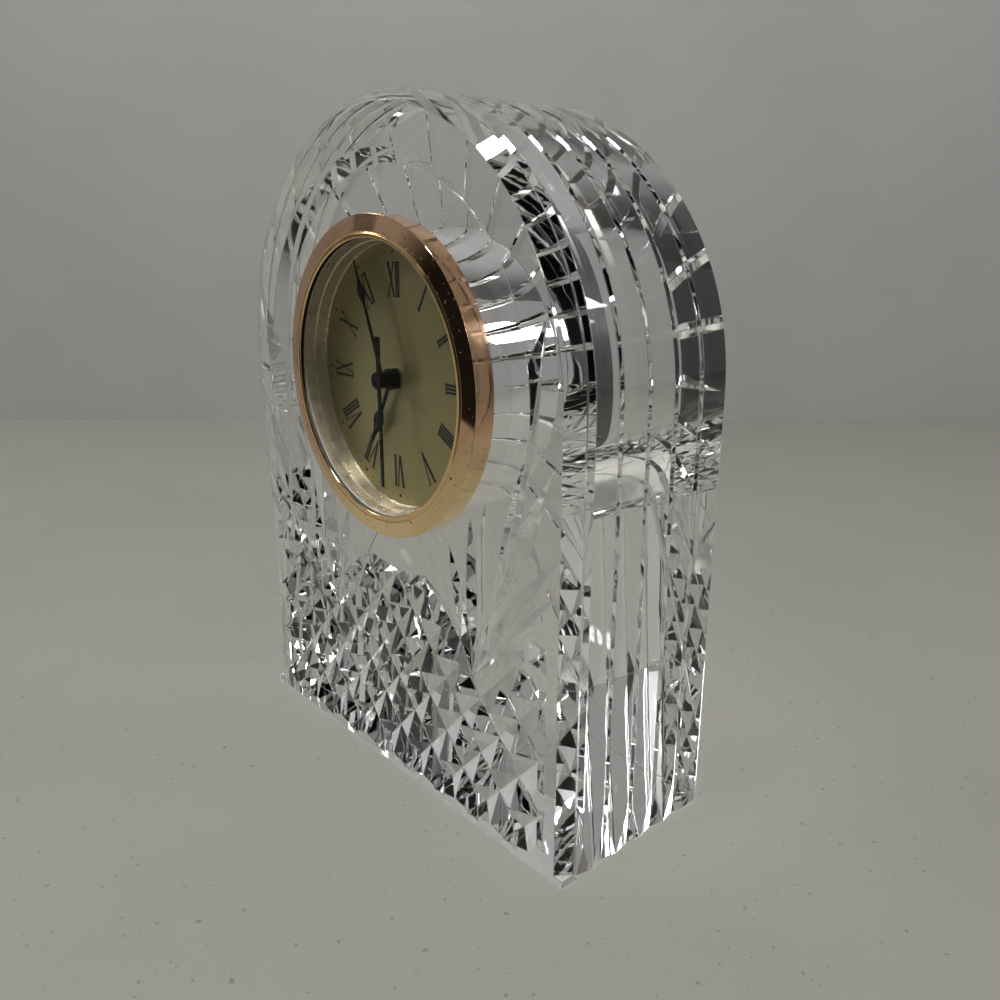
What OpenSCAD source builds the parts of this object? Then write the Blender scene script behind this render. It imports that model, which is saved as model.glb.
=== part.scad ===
// Crystal desk clock: an arched cut-crystal block that holds a push-in quartz clock insert.
// Millimetres. The origin is the centre of the base, the dial faces -Y and +Z is up.

/* [Crystal block] */
// Width of the block
body_w = 82.5; // [80:0.5:96]
// Height of the block to the top of its arch
body_h = 109; // [106:0.5:125]
// Thickness of the block from front to back
body_d = 32; // [30:0.5:44]
// Inset of the bevel round the front arris
bevel_w = 1.75; // [1:0.05:2.2]
// Depth of the front bevel, measured from front to back
bevel_run = 2.4; // [1.5:0.05:2.6]
// Size of the small bevel round the back arris
back_bevel = 0.9; // [0.4:0.1:1.5]
// Height of the sharp foot below the front bevel
foot_h = 1.2; // [0.8:0.1:3]
// Radius of the bore that takes the clock insert
bore_r = 22.7; // [22.7:0.01:23]

/* [Front recess] */
// Radius of the round recess that the bezel stands in
recess_r = 33.5; // [32:0.5:35]
// Depth of the recess below the front face
recess_depth = 2.1; // [1.9:0.1:2.4]
// Distance from the clock's centre down to the points that the fans spring from
fan_drop = 43.85; // [42:0.05:45]
// Rise of the arch between the two fans
arch_rise = 14.7; // [13:0.1:16]

/* [Diamond field] */
// Width of one diamond
diamond_w = 8.6; // [8.2:0.1:9]
// Height of one diamond
diamond_h = 9.5; // [8.8:0.1:10.5]
// Depth of the cuts between the diamonds
diamond_depth = 1.8; // [1:0.1:1.8]
// Length over which a cut runs out at its end
run_out = 4; // [3:0.1:6]
// Rise of the field above the foot of a fan
field_rise = 10.5; // [8:0.5:12]
// Plain margin beside the field
field_margin = 2; // [1:0.1:4]
// Plain margin below the field
field_foot = 1; // [0.5:0.1:3]

/* [Fans, flutes and sunburst] */
// Half angle of the mitre wheel that cuts the inner blades
blade_angle = 48; // [40:1:55]
// Half angle of the wheel that cuts the broad outer blades
broad_angle = 60; // [55:1:64]
// Depth of the short blades
blade_depth = 1.15; // [0.8:0.05:1.5]
// Depth of the long blade beside the dial
long_blade_depth = 2.6; // [2.3:0.05:3]
// Spacing of the flutes round the side
flute_pitch = 5.55; // [4.8:0.05:6]
// Distance from the front face to the first flute
flute_start = 3.3; // [3.2:0.05:4]
// Width of the first flute
first_flute_w = 1.6; // [1.2:0.1:1.7]
// Width of the other flutes
flute_w = 0.95; // [0.6:0.05:1.4]
// Height over which a flute flares out at the base
flare_h = 8; // [6:0.5:12]
// Depth of a flare at the base
flare_depth = 0.55; // [0.4:0.05:0.8]
// Number of radial cuts in the sunburst on the back
ray_count = 22; // [14:2:26]
// Depth of each radial cut
ray_depth = 0.9; // [0.5:0.05:1.2]
// Width of one ray
ray_w = 1.8; // [1.4:0.1:2.6]
// Angle that the rays fill, the gap being at the bottom
ray_sector = 305; // [250:5:310]

/* [Clock insert] */
// Outer radius of the bezel
bezel_r = 24.5; // [24:0.1:26]
// Width of the straight band round the bezel
band_h = 3.3; // [2.9:0.1:4]
// Rise of the sloping face of the bezel
slope_h = 0.6; // [0.3:0.1:1.2]
// Inner radius of the bezel's lip
view_r = 21; // [20.7:0.05:21.1]
// Width of the lip round the lens
lip_w = 0.4; // [0.2:0.05:0.6]
// Thickness of the lip in front of the lens
lip_t = 0.25; // [0.15:0.05:0.4]
// Thickness of the lens
lens_t = 0.75; // [0.5:0.05:0.9]
// Thickness of the gasket behind the lens
gasket_t = 0.35; // [0.2:0.05:0.5]
// Distance from the lens to the dial
dial_drop = 4.2; // [4.1:0.05:4.4]
// Visible radius of the dial
dial_r = 20.3; // [20:0.1:20.6]
// Thickness of the dial
dial_t = 0.4; // [0.3:0.05:0.5]
// Depth of the insert's back behind the front face
insert_depth = 18; // [18:0.5:20]
// Outer radius of the case
case_r = 22.2; // [22.1:0.01:22.3]
// Wall of the case round the dial
case_wall = 0.8; // [0.7:0.05:0.85]
// Thickness of the back of the case
floor_t = 1; // [0.8:0.1:1.2]
// Depth of the groove that holds the grip ring
grip_groove = 0.3; // [0.2:0.05:0.4]
// Width of the grip ring
grip_w = 4; // [3:0.5:5]

/* [Dial and hands] */
// Radius at the feet of the numerals
numeral_r = 12.4; // [11:0.1:13]
// Height of the numerals
numeral_h = 5.2; // [4:0.1:5.6]
// Width of a broad stroke
stroke_w = 0.36; // [0.3:0.02:0.6]
// Thickness of the printed numerals and dots
ink_t = 0.06; // [0.04:0.01:0.1]
// Radius of the ring of dots
dot_ring_r = 19.1; // [18.5:0.1:19.3]
// Hour shown at rest
rest_hour = 6; // [1:1:12]
// Minute shown at rest
rest_minute = 56.5; // [0:0.5:59.5]
// Second shown at rest
rest_second = 30; // [0:1:59]
// Length of the hour hand
hour_len = 12.6; // [10:0.1:14]
// Length of the minute hand
minute_len = 19; // [16:0.1:19.2]
// Length of the second hand
second_len = 17; // [14:0.1:19]
// Length of the second hand's tail
tail_len = 6.7; // [4:0.1:8]
// Thickness of the hands
hand_t = 0.2; // [0.15:0.05:0.3]

/* [Gear train] */
// Teeth of the rotor pinion
rotor_teeth = 8; // [8:1:8]
// Teeth of the intermediate wheel
inter_teeth = 40; // [40:1:40]
// Teeth of the intermediate pinion
inter_leaves = 10; // [10:1:10]
// Teeth of the seconds wheel
fourth_teeth = 60; // [60:1:60]
// Teeth of the seconds pinion
fourth_leaves = 8; // [8:1:8]
// Teeth of the third wheel
third_teeth = 60; // [60:1:60]
// Teeth of the third pinion
third_leaves = 8; // [8:1:8]
// Teeth of the centre wheel
centre_teeth = 64; // [64:1:64]
// Teeth of the cannon pinion
cannon_leaves = 10; // [10:1:10]
// Teeth of the minute wheel
minute_teeth = 30; // [30:1:30]
// Teeth of the minute wheel's pinion
minute_leaves = 10; // [10:1:10]
// Teeth of the hour wheel
hour_teeth = 40; // [40:1:40]
// Teeth of the setting pinion
setting_leaves = 10; // [10:1:10]
// Radial running clearance of pivots and tubes
run_gap = 0.05; // [0.03:0.01:0.08]

/* [Hidden] */

clock_z = body_h - body_w / 2;
front_y = -body_d / 2;
half_w = body_w / 2;
step_y = front_y + recess_depth;
flute_count = floor((body_d - flute_start - 3) / flute_pitch) + 1;
smooth = 180;

// Depths along the insert, measured from the front face to the back
seat_t = recess_depth;
band_t = seat_t - band_h;
lip_front_t = band_t - slope_h;
lens_front_t = lip_front_t + lip_t;
lens_back_t = lens_front_t + lens_t;
rim_t = lens_back_t + gasket_t;
dial_front_t = lens_back_t + dial_drop;
dial_back_t = dial_front_t + dial_t;
pocket_t = dial_back_t + 2.8;
plate_back_t = dial_back_t + 4;
bridge_t = plate_back_t + 5.2;
bridge_back_t = bridge_t + 1;
board_t = bridge_back_t + 0.6;
board_back_t = board_t + 0.8;
floor_front_t = insert_depth - floor_t;
grip_t = plate_back_t - 1.8;

// Radii across the insert
fit_gap = 0.05;
lens_seat_r = view_r + 0.9;
lens_r = lens_seat_r - fit_gap;
flange_r = case_r + 0.65;
cup_r = case_r - case_wall;
plate_r = cup_r - 0.1;
cell_wall_r = cup_r - 2.1;
reflector_r = cup_r - fit_gap;
grip_seat_r = case_r - grip_groove;

// Arbors, tubes and pivots
second_arbor_r = 0.4;
minute_tube_r = 0.85;
hour_tube_r = 1.25;
pivot_r = 0.25;
arbor_r = 0.35;
stem_r = 0.75;

// Distances between the centres of meshing gears
third_d = 5.76;
inter_d = 5.95;
rotor_d = 4.08;
motion_d = 4.8;
third_m = 2 * third_d / (centre_teeth + third_leaves);
fourth_m = 2 * third_d / (third_teeth + fourth_leaves);
inter_m = 2 * inter_d / (fourth_teeth + inter_leaves);
rotor_m = 2 * rotor_d / (inter_teeth + rotor_teeth);
cannon_m = 2 * motion_d / (cannon_leaves + minute_teeth);
hour_m = 2 * motion_d / (minute_leaves + hour_teeth);

// Directions from one gear to the next, and where the arbors stand
third_dir = 225;
inter_dir = 45;
third_p = third_d * [cos(third_dir), sin(third_dir)];
inter_p = inter_d * [cos(inter_dir), sin(inter_dir)];
rotor_p = inter_p + rotor_d * [cos(inter_dir), sin(inter_dir)];
motion_p = [0, -motion_d];
stem_p = [0, -2 * motion_d];
pillars = [[-11.5, 0], [3.5, -8.5], [-6.5, 9]];
board_posts = [[-14.5, 6.5], [-14.5, -6.5]];
stator_posts = [[-2.5, 7], [10.8, 5.4]];
plate_screw_r = (cell_wall_r + grip_seat_r) / 2 - 0.1;
plate_screw_turns = [30, 150, 270];
cell_p = [10.5, -2];
cell_r = 5.8;
cell_t = floor_front_t - 5.4;
cover_r = 6.6;
cover_front_t = insert_depth - 0.6;

// Layout of the motor, the board and the contacts, from the clock's centre
coil_z = 13.5;
coil_from = -0.4;
coil_to = 9.6;
coil_r = 1.95;
bobbin_r = 1.45;
bobbin_wall = 0.6;
core_w = 2.4;
core_h = 0.8;
arm_w = 1.8;
arm_gap = 0.6;
stator_left = coil_from - arm_gap - arm_w - 1.2;
stator_right = coil_to + arm_gap + arm_w;
stator_top = coil_z + core_w / 2;
stator_bar_top = coil_z - coil_r - 1.35;
stator_bar_low = 5.5;
stator_low = 3.9;
rotor_hole_r = 2.3;
bridge_edge = 1.7;
board_margin = 2.3;
board_half = 7.6;
board_right = -1.4;
chip_w = 3.4;
can_r = 0.75;
can_len = 5;
contact_w = 1.2;
contact_t = 0.3;
knob_r = 4;
knob_h = 3.3;

// Hands at rest, clockwise from the top of the dial
second_turn = 6 * rest_second;
minute_turn = 6 * rest_minute;
hour_turn = 30 * rest_hour + rest_minute / 2;

// Phase that brings the second gear's gap onto the first gear's tooth
function mesh(dir, teeth_a, phase_a, teeth_b) =
  dir + 180 - (180 - (dir - phase_a) * teeth_a) / teeth_b;
third_phase = mesh(third_dir, centre_teeth, 0, third_leaves);
third_wheel_phase = 0;
fourth_phase = mesh(third_dir + 180, third_teeth, third_wheel_phase, fourth_leaves);
inter_phase = mesh(inter_dir, fourth_teeth, 0, inter_leaves);
rotor_phase = mesh(inter_dir, inter_teeth, 0, rotor_teeth);
minute_wheel_phase = mesh(270, cannon_leaves, 0, minute_teeth);
hour_phase = mesh(90, minute_leaves, 0, hour_teeth);
setting_phase = mesh(270, minute_teeth, minute_wheel_phase, setting_leaves);

glass_colour = [0.86, 0.9, 0.92];
rose_colour = [0.72, 0.5, 0.42];
champagne_colour = [0.78, 0.72, 0.58];
black_colour = [0.05, 0.05, 0.05];
brass_colour = [0.8, 0.66, 0.3];
steel_colour = [0.7, 0.7, 0.72];
plastic_colour = [0.2, 0.2, 0.22];
copper_colour = [0.75, 0.4, 0.2];
board_colour = [0.1, 0.35, 0.2];

// Flutes round the side, as notches in the half profile
function flute_at(i) = body_d / 2 - flute_start - i * flute_pitch;
function flute_half(i) = (i == 0 ? first_flute_w : flute_w) / 2;
function flute_deep(i) = flute_half(i) * 0.83;
function flute_notch(i) = [
  [half_w, flute_at(i) - flute_half(i)],
  [half_w - flute_deep(i), flute_at(i)],
  [half_w, flute_at(i) + flute_half(i)]
];
half_profile = concat(
  [[0, -body_d / 2], [half_w - back_bevel, -body_d / 2], [half_w, back_bevel - body_d / 2]],
  [for (i = [flute_count - 1:-1:0]) for (p = flute_notch(i)) p],
  [[half_w, body_d / 2 - bevel_run], [half_w - bevel_w, body_d / 2], [0, body_d / 2]]
);
// The whole profile as seen from above
plan_profile = concat(
  [for (p = half_profile) [p[0], -p[1]]],
  [for (i = [len(half_profile) - 2:-1:1]) [-half_profile[i][0], -half_profile[i][1]]]
);

// Stands its children in the insert's frame: x right, y up, z forward from the front face
module insert_frame() {
  translate([0, front_y, clock_z]) rotate([90, 0, 0]) children();
}

// A flat piece between two depths behind the front face
module slab(from_t, to_t) {
  translate([0, 0, -to_t]) linear_extrude(height = to_t - from_t) children();
}

// A plain round piece between two depths
module disc(from_t, to_t, r, at = [0, 0]) {
  translate([at[0], at[1], -to_t]) cylinder(h = to_t - from_t, r = r, $fn = smooth);
}

// A round hole through whatever lies between two depths
module bore(from_t, to_t, r, at = [0, 0]) {
  translate([at[0], at[1], -to_t - 0.5]) cylinder(h = to_t - from_t + 1, r = r, $fn = smooth);
}

module ring(from_t, to_t, r_out, r_in, at = [0, 0]) {
  difference() {
    disc(from_t, to_t, r_out, at);
    bore(from_t, to_t, r_in, at);
  }
}

module arch_and_body() {
  linear_extrude(height = clock_z) polygon(plan_profile);
  translate([0, 0, clock_z]) rotate([90, 0, 0]) rotate_extrude(angle = 180, $fn = smooth)
    polygon(half_profile);
  for (s = [-1, 1]) linear_extrude(height = foot_h) polygon([
    [s * half_w, -body_d / 2],
    [s * half_w, bevel_run + 0.5 - body_d / 2],
    [s * (half_w - bevel_w - 0.5), -body_d / 2]
  ]);
}

// A V cut along a face. Its path is a list of straight lines under which the valley stays,
// each given by a place along the cut, the depth there and the slope.
function deepest(line, run) = max(line[1] - line[0] * tan(line[2]),
  line[1] + (run - line[0]) * tan(line[2]));
module v_cut(from, to, face_y, half_angle, path) {
  run = norm(to - from);
  turn = atan2(to[1] - from[1], to[0] - from[0]);
  thick = max([for (line = path) deepest(line, run)]) + recess_depth + 1;
  translate([from[0], face_y, from[1]]) rotate([0, -turn, 0]) intersection_for(line = path)
    translate([line[0], line[1], 0]) rotate([0, 0, line[2]]) rotate([0, 90, 0])
      linear_extrude(height = 2.6 * run, center = true) polygon([
        [0, 0],
        [thick * tan(half_angle), -thick],
        [-thick * tan(half_angle), -thick]
      ]);
}

// The leaf left by a large wheel that enters a face at one point and leaves it at another
module leaf_cut(from, to, deep, half_angle, face_y) {
  run = norm(to - from);
  v_cut(from, to, face_y, half_angle, concat([[0, 0.1, 55]], [for (i = [0.5:1:3.5])
    [run * i / 4, deep * i * (4 - i) / 4, atan(4 * deep * (1 - i / 2) / run)]]));
}

// Width across one diamond, measured square to its sides
diamond_side = norm([diamond_w, diamond_h]) / 2;
diamond_pitch = diamond_w * diamond_h / 2 / diamond_side;
diamond_angle = atan((diamond_pitch / 2 + 0.05) / diamond_depth);
field_x = half_w - bevel_w - field_margin;

// The fans spring from the field's own lines, four and a half half-diamonds from the middle
fan = [2.25 * diamond_w, clock_z - fan_drop];

// A place in the field, counted along the two families of cuts
function field_at(s, d) = [diamond_w * (s - d) / 4, fan[1] + diamond_h * (s + d - 9) / 4];
function foot_s(d) = 9 - d - 4 * (fan[1] - field_foot) / diamond_h;
function left_s(d) = d - 4 * field_x / diamond_w;
function right_s(d) = min(d + 4 * field_x / diamond_w, 9 - d + 4 * field_rise / diamond_h);
function start_s(d) = max(foot_s(d), left_s(d));
function end_s(d) = d < 0 ? right_s(d) : d < 10 ? 9.8 : -0.6;
last_d = 2 * floor(2 * field_x / diamond_w) - 1;

// The family of cuts that run up to the right
module field_cuts() {
  for (d = [-7:2:last_d]) if (end_s(d) - start_s(d) > 1.2) {
    from = field_at(start_s(d), d);
    to = field_at(end_s(d), d);
    lean = atan(diamond_depth / run_out);
    v_cut(from, to, front_y, diamond_angle, [
      [0, diamond_depth, 0],
      [0, 0, lean],
      [norm(to - from), 0, -lean]
    ]);
  }
}

// Tips of one fan's blades, from the point it springs from
floor_tips = [[-9.9, 11.5], [-5.3, 20.3], [-0.3, 26.7], [3.1, 29.3]];
face_tips = [[19.1, 37.4], [20.2, 25.7], [19.5, 20]];
long_tip = [16.9, 55.3];
fan_reach = (half_w - bevel_w - 0.2 - fan[0]) / 20.2;

module fan_cuts() {
  for (tip = floor_tips)
    leaf_cut(fan + 0.6 * tip / norm(tip), fan + tip, blade_depth, blade_angle, step_y);
  leaf_cut(fan, fan + long_tip, long_blade_depth, blade_angle + 7, front_y);
  for (tip = face_tips) leaf_cut(fan, fan + fan_reach * tip, blade_depth, broad_angle, front_y);
}

module recess() {
  arch_r = (fan[0] * fan[0] + arch_rise * arch_rise) / (2 * arch_rise);
  translate([0, front_y - 1, clock_z]) rotate([-90, 0, 0]) cylinder(
    h = recess_depth + 1, r1 = recess_r + 1, r2 = recess_r - recess_depth, $fn = smooth);
  difference() {
    translate([0, step_y, 0]) rotate([90, 0, 0]) linear_extrude(height = recess_depth + 1)
      polygon([
        [-fan[0], fan[1]],
        [fan[0], fan[1]],
        [fan[0] + 0.69 * long_tip[0], fan[1] + 0.69 * long_tip[1]],
        [-fan[0] - 0.69 * long_tip[0], fan[1] + 0.69 * long_tip[1]]
      ]);
    translate([0, step_y + 1, fan[1] + arch_rise - arch_r]) rotate([90, 0, 0])
      cylinder(h = recess_depth + 4, r = arch_r, $fn = smooth);
  }
}

module flares() {
  wide = 0.46 * flute_pitch / flare_depth;
  for (i = [0:flute_count - 1], part = [[1, 1], [0.45, 1.9]])
    translate([half_w - part[0] * flare_depth, -flute_at(i), 0])
      rotate([0, atan2(part[0] * flare_depth, part[1] * flare_h), 0])
        translate([0, 0, -flare_h]) linear_extrude(height = 4 * flare_h)
          polygon([[0, 0], [3, i == 0 ? -1.1 : -3 * wide], [3, 3 * wide]]);
}

// The rays round the back: the upper ones run out over the edge, the lower ones end in points
module sunburst() mirror([0, 1, 0]) for (i = [0:ray_count - 1]) {
  turn = (i + 0.5) * ray_sector / ray_count + 90 - ray_sector / 2;
  tip_r = sin(turn) > 0 ? body_h : min((half_w - 3) / abs(cos(turn)), (12 - clock_z) / sin(turn));
  lean = sin(turn) > 0 ? 0 : atan(ray_depth / (tip_r - bore_r + 2));
  translate([0, front_y, clock_z]) rotate([0, -turn, 0]) translate([bore_r - 2, ray_depth, 0])
    rotate([0, 0, -lean]) rotate([0, 90, 0]) linear_extrude(height = tip_r)
      polygon([[0, 0], [ray_w, -2 * ray_depth], [-ray_w, -2 * ray_depth]]);
}

module crystal_block() color(glass_colour) difference() {
  arch_and_body();
  translate([0, 0, clock_z]) rotate([90, 0, 0])
    cylinder(h = body_d + 2, r = bore_r, center = true, $fn = smooth);
  recess();
  field_cuts();
  mirror([1, 0, 0]) field_cuts();
  fan_cuts();
  mirror([1, 0, 0]) fan_cuts();
  flares();
  mirror([1, 0, 0]) flares();
  sunburst();
}

module bezel() color(rose_colour) insert_frame() rotate_extrude($fn = smooth) polygon([
  [bezel_r, -seat_t],
  [bezel_r, -band_t],
  [view_r + lip_w, -lip_front_t],
  [view_r, -lip_front_t],
  [view_r, -lens_front_t],
  [lens_seat_r, -lens_front_t],
  [lens_seat_r, -rim_t],
  [flange_r + fit_gap, -rim_t],
  [flange_r + fit_gap, -seat_t]
]);

module lens() color(glass_colour) insert_frame() disc(lens_front_t, lens_back_t, lens_r);

module lens_gasket() color(black_colour) insert_frame()
  ring(lens_back_t, rim_t, lens_r, view_r + 0.05);

module reflector_ring() color(champagne_colour) insert_frame() rotate_extrude($fn = smooth)
  polygon([
    [reflector_r, -rim_t],
    [view_r - 0.02, -rim_t],
    [dial_r + 0.45, -rim_t - 1.6],
    [dial_r + 0.25, -rim_t - 1.6],
    [dial_r + 0.15, 0.4 - dial_front_t],
    [dial_r, 0.3 - dial_front_t],
    [dial_r, -dial_front_t],
    [reflector_r, -dial_front_t]
  ]);

module dial() color(champagne_colour) insert_frame()
  ring(dial_front_t, dial_back_t, plate_r, hour_tube_r + run_gap);

// Strokes of the numerals, drawn from their feet at the origin
module stroke(from, to, wide) {
  polygon([
    [from[0] - wide / 2, from[1]],
    [from[0] + wide / 2, from[1]],
    [to[0] + wide / 2, to[1]],
    [to[0] - wide / 2, to[1]]
  ]);
}
thin_w = stroke_w * 0.42;
serif_t = 0.17;
stem_step = stroke_w + 0.2;
leg_x = numeral_h * 0.145;

module foot(x, y) {
  stroke([x, y], [x, y + serif_t], stroke_w + 0.3);
}
module glyph_one(x) {
  stroke([x, 0], [x, numeral_h], stroke_w);
  foot(x, 0);
  foot(x, numeral_h - serif_t);
}
module glyph_five(x) {
  stroke([x + 0.1, 0], [x - leg_x, numeral_h], stroke_w * 1.15);
  stroke([x + 0.1, 0], [x + leg_x, numeral_h], thin_w);
  foot(x - leg_x, numeral_h - serif_t);
  foot(x + leg_x, numeral_h - serif_t);
}
module glyph_ten(x) {
  stroke([x + leg_x, 0], [x - leg_x, numeral_h], stroke_w * 1.15);
  stroke([x - leg_x, 0], [x + leg_x, numeral_h], thin_w);
  for (s = [-1, 1]) for (y = [0, numeral_h - serif_t]) foot(x + s * leg_x, y);
}
// Each numeral as steps: 1 is a stroke, 5 is a V and 10 is an X
numerals = [[1], [1, 1], [1, 1, 1], [1, 1, 1, 1], [5], [5, 1], [5, 1, 1], [5, 1, 1, 1],
  [1, 10], [10], [10, 1], [10, 1, 1]];
function glyph_w(g) = g == 1 ? stem_step : 2 * leg_x + stroke_w + 0.3;
function width_to(n, i) = i == 0 ? 0 : width_to(n, i - 1) + glyph_w(n[i - 1]);

module dial_numerals() color(black_colour) insert_frame()
  for (h = [0:11]) rotate([0, 0, -30 * (h + 1)]) {
    n = numerals[h];
    total = width_to(n, len(n));
    slab(dial_front_t - ink_t, dial_front_t) for (i = [0:len(n) - 1])
      translate([width_to(n, i) + glyph_w(n[i]) / 2 - total / 2, numeral_r]) {
        if (n[i] == 1) glyph_one(0);
        if (n[i] == 5) glyph_five(0);
        if (n[i] == 10) glyph_ten(0);
      }
  }

module dial_dots() color(black_colour) insert_frame() for (i = [0:59]) rotate([0, 0, -6 * i])
  disc(dial_front_t - ink_t, dial_front_t, i % 5 == 0 ? 0.26 : 0.1, [0, dot_ring_r]);

// A spade hand that points up, given its length, its bulge and its stem
module spade(len, bulge_at, bulge_w, stem_w) {
  polygon([for (s = [1, -1]) for (p = s == 1 ? spade_side(len, bulge_at, bulge_w, stem_w) :
    reversed(spade_side(len, bulge_at, bulge_w, stem_w))) [s * p[0], p[1]]]);
}
function reversed(list) = [for (i = [len(list) - 1:-1:0]) list[i]];
function spade_side(len, bulge_at, bulge_w, stem_w) = [
  [stem_w / 2 + 0.12, 0],
  [stem_w / 2, bulge_at - bulge_w * 1.05],
  [stem_w / 2 + 0.04, bulge_at - bulge_w * 0.8],
  [bulge_w * 0.36, bulge_at - bulge_w * 0.48],
  [bulge_w * 0.48, bulge_at - bulge_w * 0.2],
  [bulge_w * 0.5, bulge_at],
  [bulge_w * 0.45, bulge_at + bulge_w * 0.25],
  [bulge_w * 0.3, bulge_at + bulge_w * 0.55],
  [bulge_w * 0.17, bulge_at + bulge_w * 0.9],
  [bulge_w * 0.1, bulge_at + bulge_w * 1.35],
  [0.07, len]
];
hour_hand_t = dial_front_t - 1.2;
minute_hand_t = dial_front_t - 2.65;
second_hand_t = dial_front_t - 3.4;
hour_hub_r = hour_tube_r + 0.45;
minute_hub_r = minute_tube_r + 0.45;
cap_r = 1.3;

module hour_hand() color(black_colour) insert_frame() rotate([0, 0, -hour_turn]) difference() {
  union() {
    slab(hour_hand_t, hour_hand_t + hand_t) spade(hour_len, hour_len * 0.64, 2.6, 0.7);
    disc(hour_hand_t - 0.45, dial_front_t - 0.5, hour_hub_r);
  }
  bore(hour_hand_t - 1, dial_front_t, hour_tube_r);
}

module minute_hand() color(black_colour) insert_frame() rotate([0, 0, -minute_turn])
  difference() {
    union() {
      slab(minute_hand_t, minute_hand_t + hand_t) spade(minute_len, minute_len * 0.737, 1.9, 0.55);
      disc(minute_hand_t - 0.1, minute_hand_t + 0.9, minute_hub_r);
    }
    bore(minute_hand_t - 1, minute_hand_t + 1, minute_tube_r);
  }

module second_hand() color(black_colour) insert_frame() rotate([0, 0, -second_turn])
  difference() {
    union() {
      slab(second_hand_t, second_hand_t + hand_t) polygon([
        [0.62, -tail_len],
        [0.46, 0],
        [0.42, 6],
        [0.36, second_len],
        [-0.36, second_len],
        [-0.42, 6],
        [-0.46, 0],
        [-0.62, -tail_len]
      ]);
      disc(second_hand_t - 0.45, second_hand_t + 0.55, cap_r);
    }
    translate([0, 0, -second_hand_t - 1]) cylinder(h = 1.05, r = second_arbor_r, $fn = smooth);
  }

module centre_nut() color(steel_colour) insert_frame()
  ring(dial_front_t - 0.4, dial_front_t, 1.8, hour_tube_r + run_gap);

module case_cup() color(plastic_colour) insert_frame() difference() {
  union() {
    disc(rim_t, seat_t - fit_gap, flange_r);
    disc(seat_t - 0.3, insert_depth, case_r);
  }
  translate([0, 0, -plate_back_t]) cylinder(h = plate_back_t - rim_t + 1, r = cup_r, $fn = smooth);
  disc(plate_back_t - 1, floor_front_t, cell_wall_r);
  ring(grip_t, grip_t + grip_w, case_r + 1, grip_seat_r);
  bore(floor_front_t, insert_depth, stem_r + run_gap, stem_p);
  bore(floor_front_t, insert_depth, cell_r + 0.3, cell_p);
  disc(cover_front_t, insert_depth + 1, cover_r + run_gap, cell_p);
  for (a = plate_screw_turns)
    disc(plate_back_t - 1, plate_back_t + 2.4, 0.45, plate_screw_r * [cos(a), sin(a)]);
}

module grip_ring() color(plastic_colour) insert_frame() rotate_extrude($fn = smooth) polygon([
  [grip_seat_r + 0.02, -grip_t - 0.05],
  [case_r + 0.2, -grip_t - 0.05],
  [bore_r - 0.08, -grip_t - 0.5],
  [bore_r - 0.08, 0.5 - grip_t - grip_w],
  [case_r + 0.2, 0.05 - grip_t - grip_w],
  [grip_seat_r + 0.02, 0.05 - grip_t - grip_w]
]);

module main_plate() color(brass_colour) insert_frame() difference() {
  union() {
    disc(dial_back_t, plate_back_t, plate_r);
    for (p = pillars) disc(plate_back_t - 0.5, bridge_t, 1.3, p);
    for (p = board_posts) disc(plate_back_t - 0.5, board_t, 1, p);
    for (p = stator_posts) disc(plate_back_t - 0.5, plate_back_t + 0.9, 0.7, p);
  }
  disc(dial_back_t - 1, pocket_t, 4.5);
  disc(dial_back_t - 1, pocket_t, 4.3, motion_p);
  disc(dial_back_t - 1, pocket_t, 2, stem_p);
  bore(pocket_t, plate_back_t, minute_tube_r + run_gap);
  bore(pocket_t, plate_back_t, stem_r + run_gap, stem_p);
  bore(pocket_t, plate_back_t, pivot_r + run_gap, motion_p);
  for (p = [third_p, inter_p, rotor_p])
    disc(plate_back_t - 1, plate_back_t + 1, pivot_r + run_gap, p);
  for (p = pillars) disc(bridge_t - 2, bridge_t + 1, 0.5, p);
  for (a = plate_screw_turns) {
    bore(dial_back_t, plate_back_t, 0.45, plate_screw_r * [cos(a), sin(a)]);
    disc(dial_back_t - 1, dial_back_t + 0.6, 0.68, plate_screw_r * [cos(a), sin(a)]);
  }
}

module train_bridge() color(brass_colour) insert_frame() slab(bridge_t, bridge_back_t)
  difference() {
    polygon([
      pillars[0] + bridge_edge * [-1, -0.95],
      pillars[0] + bridge_edge * [-1, 0.95],
      pillars[2] + bridge_edge * [-0.9, 1],
      pillars[2] + bridge_edge * [0.9, 1],
      rotor_p + bridge_edge * [-0.6, 1.1],
      rotor_p + bridge_edge * [1.1, 1.1],
      rotor_p + bridge_edge * [1.1, -0.6],
      bridge_edge * [1.5, 0],
      pillars[1] + bridge_edge * [1.05, 0.4],
      pillars[1] + bridge_edge * [1.05, -1.05],
      pillars[1] + bridge_edge * [-0.6, -1.05],
      third_p + bridge_edge * [1.2, -1.15],
      third_p + bridge_edge * [-1.15, -1.15]
    ]);
    circle(r = second_arbor_r + run_gap, $fn = smooth);
    for (p = [third_p, inter_p, rotor_p]) translate(p) circle(r = pivot_r + run_gap, $fn = 48);
    for (p = pillars) translate(p) circle(r = 0.5, $fn = 48);
  }

// A toothed outline, given its teeth, module, phase and how far its tips stand out
module gear(teeth, m, phase, tip) {
  pitch = 360 / teeth;
  r = teeth * m / 2;
  polygon([for (i = [0:teeth - 1]) for (p = [
    [-0.27, r - 1.3 * m],
    [-0.1, r + tip * m],
    [0.1, r + tip * m],
    [0.27, r - 1.3 * m]
  ]) p[1] * [cos(phase + (i + p[0]) * pitch), sin(phase + (i + p[0]) * pitch)]]);
}
wheel_tip = 0.8;
leaf_tip = 0.6;

// An arbor with a pivot at each end
module arbor(p, front_t, rear_t, r) {
  disc(front_t, rear_t, r, p);
  disc(front_t - 0.8, rear_t + 0.8, pivot_r, p);
}

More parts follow.
